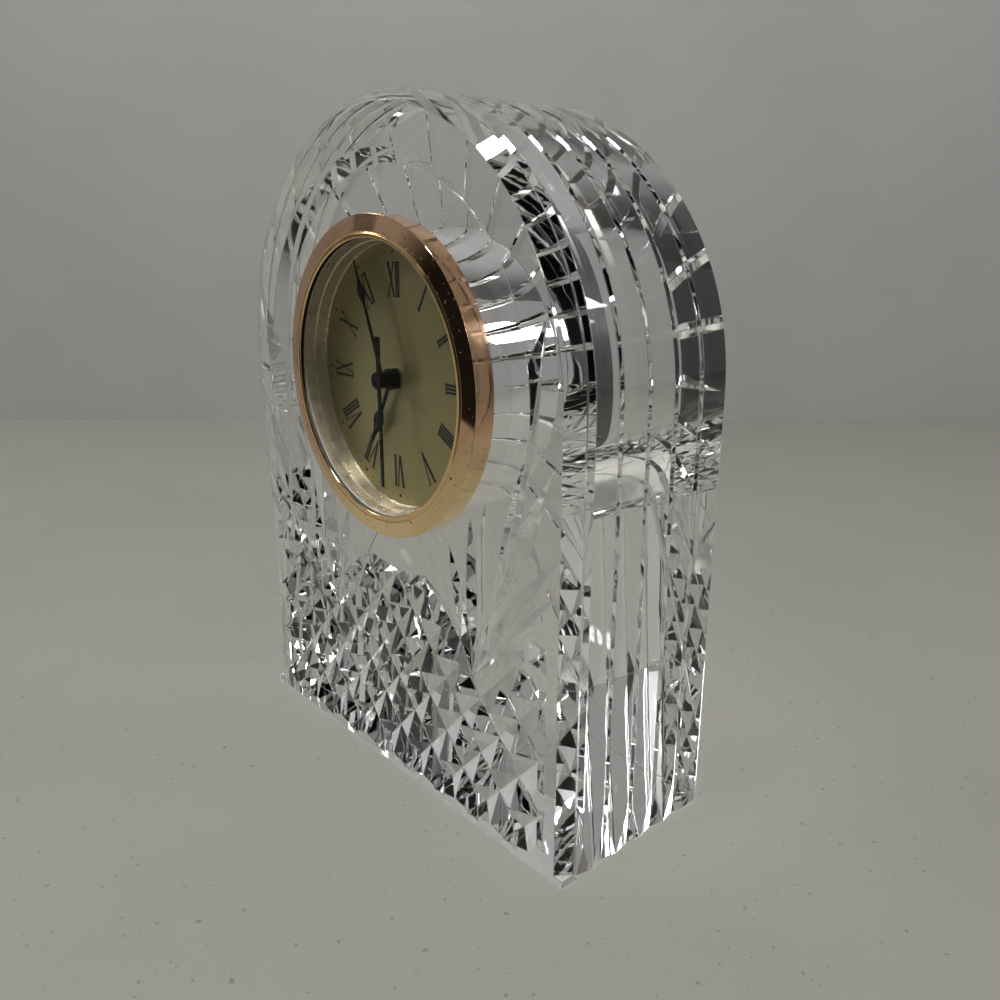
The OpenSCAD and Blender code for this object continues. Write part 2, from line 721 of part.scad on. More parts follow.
module rotor_pinion() color(steel_colour) insert_frame() {
  arbor(rotor_p, plate_back_t + 0.1, bridge_t - 0.1, arbor_r);
  translate(rotor_p) slab(plate_back_t + 3, plate_back_t + 3.7)
    gear(rotor_teeth, rotor_m, rotor_phase, leaf_tip);
}

module rotor_magnet() color(steel_colour) insert_frame()
  ring(plate_back_t + 0.2, plate_back_t + 2, 1.9, arbor_r, rotor_p);

module intermediate_wheel() color(brass_colour) insert_frame() {
  arbor(inter_p, plate_back_t + 0.1, bridge_t - 0.1, arbor_r);
  translate(inter_p) slab(plate_back_t + 2.1, plate_back_t + 2.8)
    gear(inter_leaves, inter_m, inter_phase, leaf_tip);
  translate(inter_p) slab(plate_back_t + 3.1, plate_back_t + 3.6)
    gear(inter_teeth, rotor_m, 0, wheel_tip);
}

module fourth_wheel() color(brass_colour) insert_frame() {
  disc(second_hand_t - 0.05, bridge_back_t - 0.2, second_arbor_r);
  slab(plate_back_t + 1.1, plate_back_t + 1.9) gear(fourth_leaves, fourth_m, fourth_phase, leaf_tip);
  slab(plate_back_t + 2.2, plate_back_t + 2.7) gear(fourth_teeth, inter_m, 0, wheel_tip);
}

module third_wheel() color(brass_colour) insert_frame() {
  arbor(third_p, plate_back_t + 0.05, bridge_t - 0.1, arbor_r);
  translate(third_p) slab(plate_back_t + 0.1, plate_back_t + 0.9)
    gear(third_leaves, third_m, third_phase, leaf_tip);
  translate(third_p) slab(plate_back_t + 1.2, plate_back_t + 1.7)
    gear(third_teeth, fourth_m, third_wheel_phase, wheel_tip);
}

module centre_wheel() color(brass_colour) insert_frame() slab(plate_back_t + 0.2, plate_back_t + 0.8)
  difference() {
    gear(centre_teeth, third_m, 0, wheel_tip);
    circle(r = minute_tube_r, $fn = smooth);
  }

module cannon_pinion() color(steel_colour) insert_frame() difference() {
  union() {
    disc(minute_hand_t - 0.1, plate_back_t + 0.9, minute_tube_r);
    slab(dial_back_t + 1.4, dial_back_t + 2) gear(cannon_leaves, cannon_m, 0, leaf_tip);
  }
  bore(minute_hand_t - 0.1, plate_back_t + 0.9, second_arbor_r + run_gap);
}

module minute_wheel() color(brass_colour) insert_frame() {
  disc(dial_back_t + 0.15, pocket_t - 0.05, 0.45, motion_p);
  disc(pocket_t - 0.5, plate_back_t - 0.2, pivot_r, motion_p);
  translate(motion_p) slab(dial_back_t + 0.2, dial_back_t + 0.8)
    gear(minute_leaves, hour_m, 0, leaf_tip);
  translate(motion_p) slab(dial_back_t + 1.4, dial_back_t + 2)
    gear(minute_teeth, cannon_m, minute_wheel_phase, wheel_tip);
}

module hour_wheel() color(brass_colour) insert_frame() difference() {
  union() {
    disc(hour_hand_t - 0.45, dial_back_t + 0.9, hour_tube_r);
    slab(dial_back_t + 0.2, dial_back_t + 0.8) gear(hour_teeth, hour_m, hour_phase, wheel_tip);
  }
  bore(hour_hand_t - 0.45, dial_back_t + 0.9, minute_tube_r + run_gap);
}

module setting_stem() color(steel_colour) insert_frame() {
  disc(dial_back_t + 1.2, insert_depth + 2.6, stem_r, stem_p);
  translate(stem_p) slab(dial_back_t + 1.4, dial_back_t + 2)
    gear(setting_leaves, cannon_m, setting_phase, leaf_tip);
}

module setting_knob() color(plastic_colour) insert_frame() difference() {
  translate(stem_p) slab(insert_depth + 0.3, insert_depth + 0.3 + knob_h)
    polygon([for (i = [0:71]) (i % 3 == 0 ? 0.94 : 1) * knob_r * [cos(i * 5), sin(i * 5)]]);
  disc(insert_depth, insert_depth + 2.6, stem_r, stem_p);
}

module stator() color(steel_colour) insert_frame() slab(plate_back_t + 0.9, plate_back_t + 1.7)
  difference() {
    polygon([
      [stator_left, stator_bar_low],
      [inter_p[0] + arbor_r + 0.7, stator_bar_low],
      [inter_p[0] + arbor_r + 0.7, stator_low],
      [stator_right, stator_low],
      [stator_right, stator_top],
      [stator_right - arm_w, stator_top],
      [stator_right - arm_w, stator_bar_top],
      [coil_from - arm_gap, stator_bar_top],
      [coil_from - arm_gap, stator_top],
      [stator_left, stator_top]
    ]);
    translate(rotor_p) circle(r = rotor_hole_r, $fn = smooth);
  }

core_t = plate_back_t + 1.7;
coil_mid_t = core_t + core_h / 2;
// A round piece that lies along the coil
module coil_disc(from_x, to_x, r) {
  translate([from_x, coil_z, -coil_mid_t]) rotate([0, 90, 0])
    cylinder(h = to_x - from_x, r = r, $fn = smooth);
}

module coil_core() color(steel_colour) insert_frame() slab(core_t, core_t + core_h)
  translate([stator_left, coil_z - core_w / 2]) square([stator_right - stator_left, core_w]);

module coil_bobbin() color(black_colour) insert_frame() difference() {
  union() {
    coil_disc(coil_from, coil_from + bobbin_wall, coil_r + 0.1);
    coil_disc(coil_from, coil_to, bobbin_r);
    coil_disc(coil_to - bobbin_wall, coil_to, coil_r + 0.1);
  }
  translate([coil_from - 1, coil_z - core_w / 2, -core_t - core_h])
    cube([coil_to - coil_from + 2, core_w, core_h]);
}

module coil_winding() color(copper_colour) insert_frame() difference() {
  coil_disc(coil_from + bobbin_wall, coil_to - bobbin_wall, coil_r);
  coil_disc(coil_from, coil_to, bobbin_r);
}

board_left = board_posts[0][0] - board_margin;
module circuit_board() color(board_colour) insert_frame() slab(board_t, board_back_t)
  polygon([
    [board_left, -board_half],
    [board_right - contact_w, -board_half],
    [board_right, -board_half * 0.25],
    [board_right, board_half],
    [board_left, board_half]
  ]);

module quartz_can() color(steel_colour) insert_frame()
  translate([board_right - 1.5 * can_len, board_half / 2, -board_back_t - can_r])
    rotate([0, 90, 0]) cylinder(h = can_len, r = can_r, $fn = 48);

module ic_chip() color(black_colour) insert_frame() slab(board_back_t, board_back_t + 0.9)
  translate([board_left + 1.7 * chip_w, -1.2 * chip_w]) square([chip_w, chip_w]);

module battery() color(steel_colour) insert_frame() {
  disc(cell_t, cell_t + 0.5, cell_r - 0.9, cell_p);
  disc(cell_t + 0.4, floor_front_t, cell_r, cell_p);
}

module positive_contact() color(brass_colour) insert_frame() {
  translate([cell_p[0], cell_p[1], -board_back_t - 0.9]) rotate([0, 0, 110])
    rotate_extrude(angle = 60, $fn = smooth) translate([cell_r, 0]) square([contact_t, 1.6]);
  slab(board_back_t, board_back_t + contact_t) translate([board_right - 1.6, 1])
    square([cell_p[0] - cell_r * 0.88 - board_right + 1.6, 1]);
}

tab_x = board_right - 2.6;
tab_y = 0.4 - board_half;
module negative_contact() color(brass_colour) insert_frame() {
  slab(cell_t - contact_t, cell_t) polygon([
    [tab_x, tab_y],
    [tab_x + 4.5, tab_y],
    [cell_p[0] - 3.5, cell_p[1] - 2.5],
    [cell_p[0] + 1.5, cell_p[1] - 2.5],
    [cell_p[0] + 1.5, cell_p[1] - 1],
    [cell_p[0] - 3.9, cell_p[1] - 1],
    [tab_x + 4, tab_y + contact_w],
    [tab_x, tab_y + contact_w]
  ]);
  slab(cell_t - contact_t, board_t) translate([tab_x, tab_y]) square([contact_t, contact_w]);
}

module battery_cover() color(plastic_colour) insert_frame() difference() {
  disc(cover_front_t, insert_depth, cover_r, cell_p);
  slab(insert_depth - 0.3, insert_depth + 1) translate([cell_p[0] - 3, cell_p[1] - 0.5])
    square([6, 1]);
}

module bridge_screws() color(steel_colour) insert_frame() for (p = pillars) difference() {
  union() {
    disc(bridge_t - 1.9, bridge_back_t + 0.2, 0.5, p);
    disc(bridge_back_t, bridge_back_t + 0.4, 1.1, p);
  }
  slab(bridge_back_t + 0.2, bridge_back_t + 1) translate(p - [1.5, 0.15]) square([3, 0.3]);
}

module plate_screws() color(steel_colour) insert_frame() for (a = plate_screw_turns) {
  disc(dial_back_t + 0.15, dial_back_t + 0.6, 0.66, plate_screw_r * [cos(a), sin(a)]);
  disc(dial_back_t + 0.4, plate_back_t + 2.3, 0.45, plate_screw_r * [cos(a), sin(a)]);
}

crystal_block();
bezel();
lens();
lens_gasket();
reflector_ring();
dial();
dial_numerals();
dial_dots();
hour_hand();
minute_hand();
second_hand();
centre_nut();
case_cup();
grip_ring();
main_plate();
train_bridge();
rotor_magnet();
rotor_pinion();
stator();
coil_core();
coil_bobbin();
coil_winding();
circuit_board();
quartz_can();
ic_chip();
intermediate_wheel();
fourth_wheel();
third_wheel();
centre_wheel();
cannon_pinion();
minute_wheel();
hour_wheel();
setting_stem();
setting_knob();
battery();
positive_contact();
negative_contact();
battery_cover();
bridge_screws();
plate_screws();
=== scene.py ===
"""A cut-crystal desk clock with a quartz insert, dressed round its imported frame."""

import math

import bmesh
import bpy
from mathutils import Matrix, Vector


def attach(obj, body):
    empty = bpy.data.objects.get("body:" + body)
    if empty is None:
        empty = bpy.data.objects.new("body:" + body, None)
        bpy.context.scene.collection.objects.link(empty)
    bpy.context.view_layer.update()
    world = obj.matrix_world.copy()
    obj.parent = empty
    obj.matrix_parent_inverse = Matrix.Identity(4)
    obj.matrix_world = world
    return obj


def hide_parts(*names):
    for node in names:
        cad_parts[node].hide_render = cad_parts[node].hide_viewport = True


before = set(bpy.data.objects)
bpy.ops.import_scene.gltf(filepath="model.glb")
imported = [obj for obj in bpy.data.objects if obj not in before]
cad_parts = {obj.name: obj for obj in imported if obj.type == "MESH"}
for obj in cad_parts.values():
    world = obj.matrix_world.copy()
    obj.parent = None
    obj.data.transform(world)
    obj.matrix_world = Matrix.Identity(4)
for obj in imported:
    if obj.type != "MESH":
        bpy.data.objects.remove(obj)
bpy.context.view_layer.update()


# Places in the row frame, in metres: the dial faces -Y and the clock's centre is on the Y axis
MM = 0.001
CLOCK_Z = 67.75 * MM
BEZEL_FRONT_Y = -17.5 * MM
LIP_RADIUS = 21.86
WELD = 1e-7

# Where the camera stood, measured from the photograph
CAMERA_PLACE = (0.11260, -0.09119, 0.08941)
CAMERA_TURN = (73.07, 0.0, 48.38)
CAMERA_LENS = 31.545
VIEW_YAW = math.radians(48.38)


# ---- node trees: small helpers ----


def add_node(tree, kind, values=None, **settings):
    """A node with its settings and the given input values."""
    node = tree.nodes.new(kind)
    for name, setting in settings.items():
        setattr(node, name, setting)
    for name, value in (values or {}).items():
        node.inputs[name].default_value = value
    return node


def feed(tree, source, target):
    """Link an output to an input, or set the input to a plain value."""
    if isinstance(source, bpy.types.NodeSocket):
        tree.links.new(source, target)
    else:
        target.default_value = source


def calculate(tree, operation, *terms):
    """The output of a Math node whose inputs are links or numbers."""
    node = add_node(tree, "ShaderNodeMath", operation=operation)
    for term, socket in zip(terms, node.inputs):
        feed(tree, term, socket)
    return node.outputs[0]


def spread(tree, value, low, high, to_low=0.0, to_high=1.0):
    """A value remapped smoothly from one range to another, and held at its ends."""
    node = add_node(tree, "ShaderNodeMapRange", interpolation_type="SMOOTHSTEP")
    for term, socket in zip((value, low, high, to_low, to_high), node.inputs):
        feed(tree, term, socket)
    return node.outputs["Result"]


def blend_colours(tree, share, first, second, blend_type="MIX"):
    """The output of a colour Mix node."""
    node = add_node(tree, "ShaderNodeMix", data_type="RGBA", blend_type=blend_type)
    feed(tree, share, node.inputs["Factor"])
    feed(tree, first, node.inputs["A"])
    feed(tree, second, node.inputs["B"])
    return node.outputs["Result"]


def noise(tree, place, scale, detail=2.0, roughness=0.5, dimensions="3D"):
    """The value of a Noise texture, read at a place or along one value."""
    node = add_node(
        tree, "ShaderNodeTexNoise", {"Detail": detail, "Roughness": roughness},
        noise_dimensions=dimensions,
    )
    feed(tree, scale, node.inputs["Scale"])
    feed(tree, place, node.inputs["W" if dimensions == "1D" else "Vector"])
    return node.outputs["Fac"]


def new_group(name, inputs, outputs):
    """A shader node group with named number sockets; returns it with its two ends."""
    group = bpy.data.node_groups.new(name, "ShaderNodeTree")
    for socket_name, value in inputs.items():
        socket = group.interface.new_socket(
            name=socket_name, in_out="INPUT", socket_type="NodeSocketFloat"
        )
        socket.default_value = value
    for socket_name in outputs:
        group.interface.new_socket(
            name=socket_name, in_out="OUTPUT", socket_type="NodeSocketFloat"
        )
    return group, group.nodes.new("NodeGroupInput"), group.nodes.new("NodeGroupOutput")


def object_place(tree):
    return tree.nodes.new("ShaderNodeTexCoord").outputs["Object"]


def clock_polar(tree):
    """Radius and angle round the clock's axis, from Object coordinates."""
    parts = add_node(tree, "ShaderNodeSeparateXYZ")
    feed(tree, object_place(tree), parts.inputs[0])
    height = calculate(tree, "SUBTRACT", parts.outputs["Z"], CLOCK_Z)
    across = parts.outputs["X"]
    radius = calculate(
        tree, "SQRT", calculate(
            tree, "ADD", calculate(tree, "MULTIPLY", across, across),
            calculate(tree, "MULTIPLY", height, height),
        )
    )
    return radius, calculate(tree, "ARCTAN2", height, across), parts.outputs["Y"]


# ---- shared surface effects ----


def make_turned_rings():
    """Fine rings left by a lathe round the clock's axis."""
    group, start, end = new_group(
        "turned_rings", {"Rings per metre": 9000.0}, ["Height", "Shade"]
    )
    radius, angle, depth = clock_polar(group)
    along = calculate(group, "ADD", radius, depth)
    rings = noise(group, along, start.outputs["Rings per metre"], 3, 0.6, "1D")
    feed(group, rings, end.inputs["Height"])
    feed(group, spread(group, rings, 0.35, 0.65), end.inputs["Shade"])
    return group


def make_sun_rays():
    """Fine brushed lines that run out from the clock's axis."""
    group, start, end = new_group("sun_rays", {"Fineness": 160.0}, ["Height", "Shade"])
    radius, angle, depth = clock_polar(group)
    turn = add_node(group, "ShaderNodeCombineXYZ")
    feed(group, calculate(group, "COSINE", angle), turn.inputs[0])
    feed(group, calculate(group, "SINE", angle), turn.inputs[1])
    feed(group, calculate(group, "MULTIPLY", radius, 8), turn.inputs[2])
    rays = noise(group, turn.outputs[0], start.outputs["Fineness"], 2, 0.6)
    feed(group, rays, end.inputs["Height"])
    feed(group, spread(group, rays, 0.3, 0.7), end.inputs["Shade"])
    return group


def make_angle_ribs():
    """Even ribs round the clock's axis, on what lies in front of one depth."""
    group, start, end = new_group("angle_ribs", {"Count": 290.0, "Back": 0.0}, ["Height"])
    radius, angle, depth = clock_polar(group)
    wave = calculate(
        group, "SINE", calculate(group, "MULTIPLY", angle, start.outputs["Count"])
    )
    wave = calculate(group, "MULTIPLY_ADD", wave, 0.5, 0.5)
    front = calculate(group, "LESS_THAN", depth, start.outputs["Back"])
    feed(group, calculate(group, "MULTIPLY", wave, front), end.inputs["Height"])
    return group


def make_age_specks():
    """Small pits and specks of tarnish, gathered in patches."""
    group, start, end = new_group(
        "age_specks", {"Specks per metre": 1500.0, "Amount": 0.5}, ["Mask", "Patches"]
    )
    place = object_place(group)
    specks = noise(group, place, start.outputs["Specks per metre"], 1, 0.4)
    patches = noise(group, place, 130.0, 4, 0.65)
    limit = calculate(group, "SUBTRACT", 0.8, calculate(
        group, "MULTIPLY", start.outputs["Amount"], calculate(group, "MULTIPLY", patches, 0.4)
    ))
    top = calculate(group, "ADD", limit, 0.05)
    feed(group, spread(group, specks, limit, top), end.inputs["Mask"])
    feed(group, spread(group, patches, 0.4, 0.68), end.inputs["Patches"])
    return group


def make_handled_gloss():
    """A roughness that changes a little from place to place, with fine scratches."""
    group, start, end = new_group(
        "handled_gloss", {"Low": 0.1, "High": 0.3, "Scale": 120.0}, ["Roughness"]
    )
    place = object_place(group)
    broad = noise(group, place, start.outputs["Scale"], 4, 0.6)
    stretch = add_node(group, "ShaderNodeMapping", {"Rotation": (0.3, 0.5, 0.8)})
    stretch.inputs["Scale"].default_value = (90, 5000, 5000)
    feed(group, place, stretch.inputs["Vector"])
    scratches = spread(group, noise(group, stretch.outputs[0], 1.0, 1), 0.68, 0.74)
    share = calculate(group, "MAXIMUM", spread(group, broad, 0.35, 0.7), scratches)
    feed(
        group, spread(group, share, 0, 1, start.outputs["Low"], start.outputs["High"]),
        end.inputs["Roughness"],
    )
    return group


def make_moulded_grain():
    """The fine grain and the faint mottle of moulded plastic."""
    group, start, end = new_group(
        "moulded_grain", {"Grains per metre": 4000.0}, ["Height", "Mottle"]
    )
    place = object_place(group)
    grain = noise(group, place, start.outputs["Grains per metre"], 2, 0.6)
    feed(group, grain, end.inputs["Height"])
    feed(group, spread(group, noise(group, place, 90.0, 3), 0.3, 0.7), end.inputs["Mottle"])
    return group


TURNED_RINGS = make_turned_rings()
SUN_RAYS = make_sun_rays()
ANGLE_RIBS = make_angle_ribs()
AGE_SPECKS = make_age_specks()
HANDLED_GLOSS = make_handled_gloss()
MOULDED_GRAIN = make_moulded_grain()


# ---- materials ----


def new_material(name):
    """A material with one Principled shader: its tree and that shader."""
    material = bpy.data.materials.new(name)
    material.use_nodes = True
    return material, material.node_tree, material.node_tree.nodes["Principled BSDF"]


def put_group(tree, group, values=None):
    node = tree.nodes.new("ShaderNodeGroup")
    node.node_tree = group
    for name, value in (values or {}).items():
        node.inputs[name].default_value = value
    return node


def bump(tree, shader, height, distance, strength=1.0):
    """Raise the surface by a height that feeds the shader's Normal."""
    node = add_node(tree, "ShaderNodeBump", {"Distance": distance, "Strength": strength})
    feed(tree, height, node.inputs["Height"])
    feed(tree, node.outputs["Normal"], shader.inputs["Normal"])
    return node


def put_on(piece, material):
    """The piece shows only this material."""
    piece.data.materials.clear()
    piece.data.materials.append(material)


def glass_material(name, tint, ior, ripple, shadow, arris=0.0):
    """Polished clear glass that lets lamps through to what it covers."""
    material, tree, shader = new_material(name)
    shader.inputs["Base Color"].default_value = (*tint, 1)
    shader.inputs["IOR"].default_value = ior
    shader.inputs["Roughness"].default_value = 0
    shader.inputs["Transmission Weight"].default_value = 1
    wave = bump(tree, shader, noise(tree, object_place(tree), 150.0, 2), ripple)
    if arris:
        rounded = add_node(tree, "ShaderNodeBevel", {"Radius": arris}, samples=4)
        feed(tree, rounded.outputs["Normal"], wave.inputs["Normal"])
    path = add_node(tree, "ShaderNodeLightPath")
    clear = add_node(tree, "ShaderNodeBsdfTransparent", {"Color": (shadow, shadow, shadow, 1)})
    mix = add_node(tree, "ShaderNodeMixShader")
    feed(tree, path.outputs["Is Shadow Ray"], mix.inputs["Fac"])
    feed(tree, shader.outputs["BSDF"], mix.inputs[1])
    feed(tree, clear.outputs["BSDF"], mix.inputs[2])
    feed(tree, mix.outputs["Shader"], tree.nodes["Material Output"].inputs["Surface"])
    return material


def gilt_material(name):
    """Polished gilding, rose at the top with a painted reflection that turns it yellow at the
    lower right, pitted in places.
    """
    material, tree, shader = new_material(name)
    shader.inputs["Metallic"].default_value = 1
    specks = put_group(tree, AGE_SPECKS, {"Specks per metre": 1900.0, "Amount": 0.44})
    gloss = put_group(tree, HANDLED_GLOSS, {"Low": 0.05, "High": 0.13, "Scale": 260.0})
    parts = add_node(tree, "ShaderNodeSeparateXYZ")
    feed(tree, object_place(tree), parts.inputs[0])
    height = calculate(tree, "SUBTRACT", parts.outputs["Z"], CLOCK_Z)
    # Painted reflection: the gilding's colour shifts from rose to yellow towards the lower
    # right
    lower = calculate(tree, "MULTIPLY_ADD", height, -0.95, calculate(
        tree, "MULTIPLY", parts.outputs["X"], 0.3
    ))
    rose = blend_colours(
        tree, specks.outputs["Patches"], (0.82, 0.52, 0.33, 1), (0.66, 0.4, 0.24, 1)
    )
    reflection_tinted = blend_colours(tree, spread(tree, lower, 8 * MM, 23 * MM), rose, (0.9, 0.68, 0.36, 1))
    colour = blend_colours(tree, specks.outputs["Mask"], reflection_tinted, (0.16, 0.07, 0.04, 1))
    feed(tree, colour, shader.inputs["Base Color"])
    rough = spread(
        tree, specks.outputs["Mask"], 0, 1, gloss.outputs["Roughness"], 0.6
    )
    feed(tree, rough, shader.inputs["Roughness"])
    pits = calculate(tree, "SUBTRACT", 1, specks.outputs["Mask"])
    bump(tree, shader, pits, 0.00003)
    return material


def gold_lip_material(name):
    """The bright yellow gilding of the bezel's lip."""
    material, tree, shader = new_material(name)
    shader.inputs["Metallic"].default_value = 1
    rings = put_group(tree, TURNED_RINGS, {"Rings per metre": 5000.0})
    colour = blend_colours(
        tree, rings.outputs["Shade"], (0.88, 0.63, 0.3, 1), (0.8, 0.53, 0.25, 1)
    )
    feed(tree, colour, shader.inputs["Base Color"])
    gloss = put_group(tree, HANDLED_GLOSS, {"Low": 0.08, "High": 0.22, "Scale": 300.0})
    feed(tree, gloss.outputs["Roughness"], shader.inputs["Roughness"])
    return material


def champagne_material(name, colour, rib_count, rib_back, rib_height):
    """Pale gilt metal with fine turned lines, ribbed in front of one depth."""
    material, tree, shader = new_material(name)
    shader.inputs["Metallic"].default_value = 0.75
    rings = put_group(tree, TURNED_RINGS, {"Rings per metre": 7000.0})
    darker = tuple(0.82 * c for c in colour)
    shade = blend_colours(tree, rings.outputs["Shade"], (*colour, 1), (*darker, 1))
    feed(tree, shade, shader.inputs["Base Color"])
    gloss = put_group(tree, HANDLED_GLOSS, {"Low": 0.24, "High": 0.4, "Scale": 200.0})
    feed(tree, gloss.outputs["Roughness"], shader.inputs["Roughness"])
    ribs = put_group(tree, ANGLE_RIBS, {"Count": rib_count, "Back": rib_back})
    height = calculate(
        tree, "MULTIPLY_ADD", rings.outputs["Height"], 0.1, ribs.outputs["Height"]
    )
    bump(tree, shader, height, rib_height)
    return material


def dial_material(name):
    """Champagne lacquer over a finely brushed metal dial."""
    material, tree, shader = new_material(name)
    shader.inputs["Metallic"].default_value = 0.55
    rays = put_group(tree, SUN_RAYS, {"Fineness": 150.0})
    colour = blend_colours(
        tree, rays.outputs["Shade"], (0.32, 0.28, 0.11, 1), (0.29, 0.25, 0.1, 1)
    )
    feed(tree, colour, shader.inputs["Base Color"])
    gloss = put_group(tree, HANDLED_GLOSS, {"Low": 0.34, "High": 0.42, "Scale": 150.0})
    feed(tree, gloss.outputs["Roughness"], shader.inputs["Roughness"])
    shader.inputs["Coat Weight"].default_value = 0.4
    shader.inputs["Coat Roughness"].default_value = 0.08
    bump(tree, shader, rays.outputs["Height"], 0.000004)
    return material


def ink_material(name):
    """Printed black ink with a slightly uneven coat."""
    material, tree, shader = new_material(name)
    grain = put_group(tree, MOULDED_GRAIN, {"Grains per metre": 9000.0})
    colour = blend_colours(
        tree, grain.outputs["Mottle"], (0.003, 0.003, 0.003, 1), (0.007, 0.006, 0.005, 1)
    )
    feed(tree, colour, shader.inputs["Base Color"])
    shader.inputs["Roughness"].default_value = 0.5
    bump(tree, shader, grain.outputs["Height"], 0.00001)
    return material


def lacquer_material(name):
    """Black lacquer on stamped metal, with a faint orange peel."""
    material, tree, shader = new_material(name)
    grain = put_group(tree, MOULDED_GRAIN, {"Grains per metre": 2500.0})
    colour = blend_colours(
        tree, grain.outputs["Mottle"], (0.002, 0.002, 0.002, 1), (0.004, 0.004, 0.004, 1)
    )
    feed(tree, colour, shader.inputs["Base Color"])
    gloss = put_group(tree, HANDLED_GLOSS, {"Low": 0.16, "High": 0.32, "Scale": 600.0})
    feed(tree, gloss.outputs["Roughness"], shader.inputs["Roughness"])
    shader.inputs["Specular IOR Level"].default_value = 0.15
    bump(tree, shader, grain.outputs["Height"], 0.000006)
    return material


def plastic_material(name, colour, roughness, grain_height, grains=4000.0):
    """Moulded plastic with a fine grain and a faint mottle."""
    material, tree, shader = new_material(name)
    grain = put_group(tree, MOULDED_GRAIN, {"Grains per metre": grains})
    lighter = tuple(1.35 * c for c in colour)
    feed(tree, blend_colours(
        tree, grain.outputs["Mottle"], (*colour, 1), (*lighter, 1)
    ), shader.inputs["Base Color"])
    gloss = put_group(tree, HANDLED_GLOSS, {
        "Low": roughness, "High": roughness + 0.15, "Scale": 150.0,
    })
    feed(tree, gloss.outputs["Roughness"], shader.inputs["Roughness"])
    bump(tree, shader, grain.outputs["Height"], grain_height)
    return material


def metal_material(name, colour, roughness, rings=8000.0):
    """Turned or stamped metal with lathe rings and a little tarnish."""
    material, tree, shader = new_material(name)
    shader.inputs["Metallic"].default_value = 1
    turned = put_group(tree, TURNED_RINGS, {"Rings per metre": rings})
    specks = put_group(tree, AGE_SPECKS, {"Specks per metre": 2400.0, "Amount": 0.35})
    darker = tuple(0.8 * c for c in colour)
    shade = blend_colours(tree, turned.outputs["Shade"], (*colour, 1), (*darker, 1))
    brown = tuple(0.3 * c for c in colour)
    feed(tree, blend_colours(
        tree, specks.outputs["Mask"], shade, (*brown, 1)
    ), shader.inputs["Base Color"])
    gloss = put_group(tree, HANDLED_GLOSS, {
        "Low": roughness, "High": roughness + 0.2, "Scale": 300.0,
    })
    feed(tree, gloss.outputs["Roughness"], shader.inputs["Roughness"])
    bump(tree, shader, turned.outputs["Height"], 0.000008)
    return material


def winding_material(name):
    """Enamelled copper wire, wound in close turns along X."""
    material, tree, shader = new_material(name)
    shader.inputs["Metallic"].default_value = 1
    parts = add_node(tree, "ShaderNodeSeparateXYZ")
    feed(tree, object_place(tree), parts.inputs[0])
    turns = calculate(tree, "SINE", calculate(tree, "MULTIPLY", parts.outputs["X"], 40000.0))
    turns = calculate(tree, "MULTIPLY_ADD", turns, 0.5, 0.5)
    colour = blend_colours(tree, turns, (0.3, 0.1, 0.04, 1), (0.75, 0.32, 0.14, 1))
    feed(tree, colour, shader.inputs["Base Color"])
    gloss = put_group(tree, HANDLED_GLOSS, {"Low": 0.2, "High": 0.4, "Scale": 500.0})
    feed(tree, gloss.outputs["Roughness"], shader.inputs["Roughness"])
    bump(tree, shader, turns, 0.00004)
    return material


def board_material(name):
    """Green circuit board with copper tracks under the lacquer."""
    material, tree, shader = new_material(name)
    cells = add_node(
        tree, "ShaderNodeTexVoronoi", {"Scale": 600.0}, distance="CHEBYCHEV",
        feature="DISTANCE_TO_EDGE",
    )
    feed(tree, object_place(tree), cells.inputs["Vector"])
    tracks = spread(tree, cells.outputs["Distance"], 0.1, 0.14)
    colour = blend_colours(tree, tracks, (0.012, 0.06, 0.025, 1), (0.025, 0.13, 0.05, 1))
    feed(tree, colour, shader.inputs["Base Color"])
    gloss = put_group(tree, HANDLED_GLOSS, {"Low": 0.2, "High": 0.35, "Scale": 300.0})
    feed(tree, gloss.outputs["Roughness"], shader.inputs["Roughness"])
    bump(tree, shader, tracks, 0.00003)
    return material


CRYSTAL = glass_material(
    "cut_crystal", (0.985, 0.99, 0.99), 1.55, 0.00001, 0.9, 0.26 * MM
)
LENS_GLASS = glass_material("lens_glass", (0.99, 0.99, 0.99), 1.08, 0.000002, 0.96)
ROSE_GOLD = gilt_material("rose_gold")
GOLD_LIP = gold_lip_material("gold_lip")
CHAMPAGNE = champagne_material(
    "champagne_ring", (0.62, 0.54, 0.4), 290.0, -15 * MM, 0.00006
)
DIAL = dial_material("champagne_dial")
BLACK_INK = ink_material("black_ink")
BLACK_HANDS = lacquer_material("black_hands")
DARK_PLASTIC = plastic_material("dark_plastic", (0.018, 0.018, 0.019), 0.38, 0.00002)
BLACK_RUBBER = plastic_material("black_rubber", (0.02, 0.02, 0.02), 0.6, 0.00003, 2500.0)
CLEAR_RUBBER = plastic_material("pale_gasket", (0.42, 0.42, 0.38), 0.4, 0.00001)
NICKEL = metal_material("nickel", (0.6, 0.58, 0.53), 0.18)
BRASS = metal_material("movement_brass", (0.78, 0.57, 0.27), 0.22)
SPRING_BRASS = metal_material("spring_brass", (0.8, 0.62, 0.36), 0.28, 3000.0)
STEEL = metal_material("turned_steel", (0.56, 0.56, 0.58), 0.2)
SOFT_IRON = metal_material("stamped_iron", (0.42, 0.42, 0.43), 0.35, 4000.0)
MAGNET = metal_material("dark_magnet", (0.16, 0.16, 0.17), 0.4)
COPPER = winding_material("copper_winding")
BOARD_GREEN = board_material("board_green")


# ---- pieces ----


